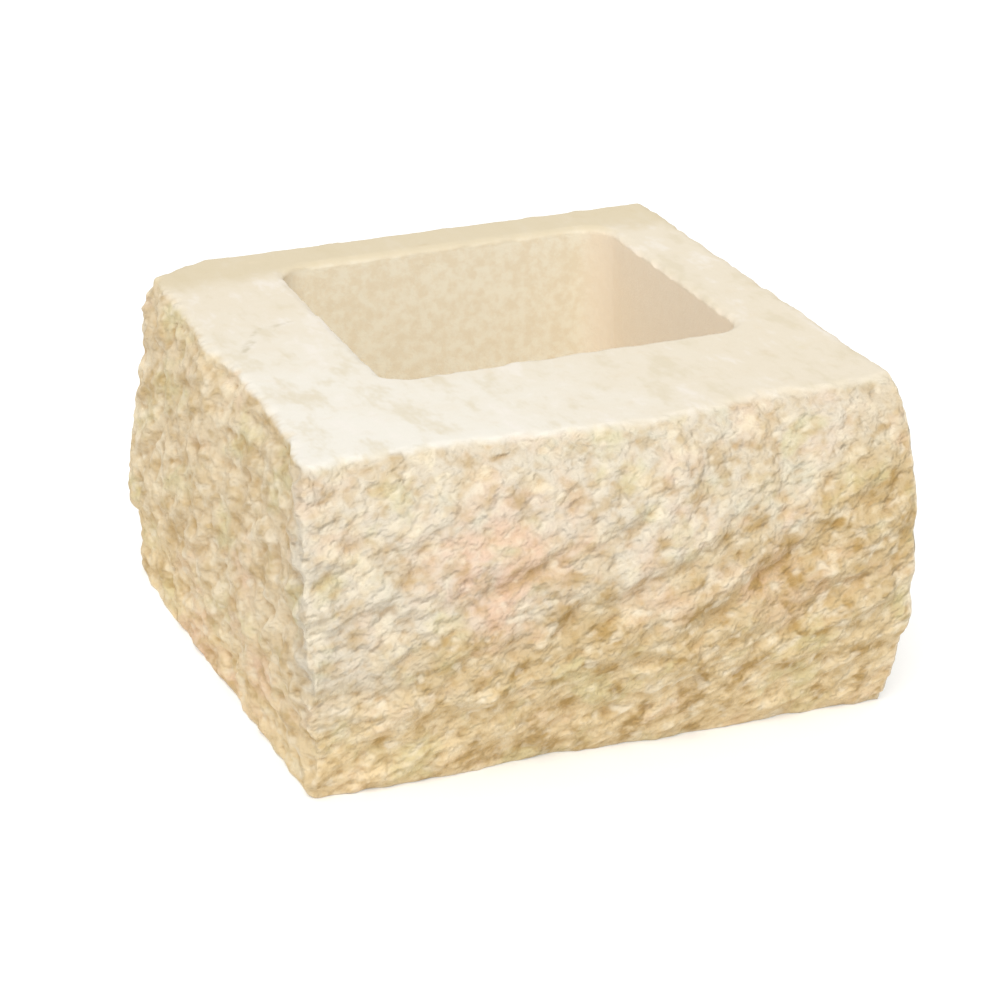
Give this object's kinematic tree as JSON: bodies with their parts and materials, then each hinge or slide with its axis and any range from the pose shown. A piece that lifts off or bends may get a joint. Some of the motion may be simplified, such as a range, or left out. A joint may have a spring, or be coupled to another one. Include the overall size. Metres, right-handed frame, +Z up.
{
  "type": "split-face pillar block",
  "caption": "Square concrete pillar block with an off-centre core right through it, rough split faces on two adjoining sides and smooth moulded faces on the others.",
  "frame": {"origin": "middle of the footprint's box, on the floor", "axes": "+Z up, as the block is laid; the two split faces look towards -Y (the deep front belly) and -X, the moulded faces towards +X and +Y"},
  "size_m": [0.3522, 0.3786, 0.2],
  "materials": {
    "concrete": "matte"
  },
  "bodies": {
    "root": {"pillar_block": "concrete"}
  },
  "joints": []
}
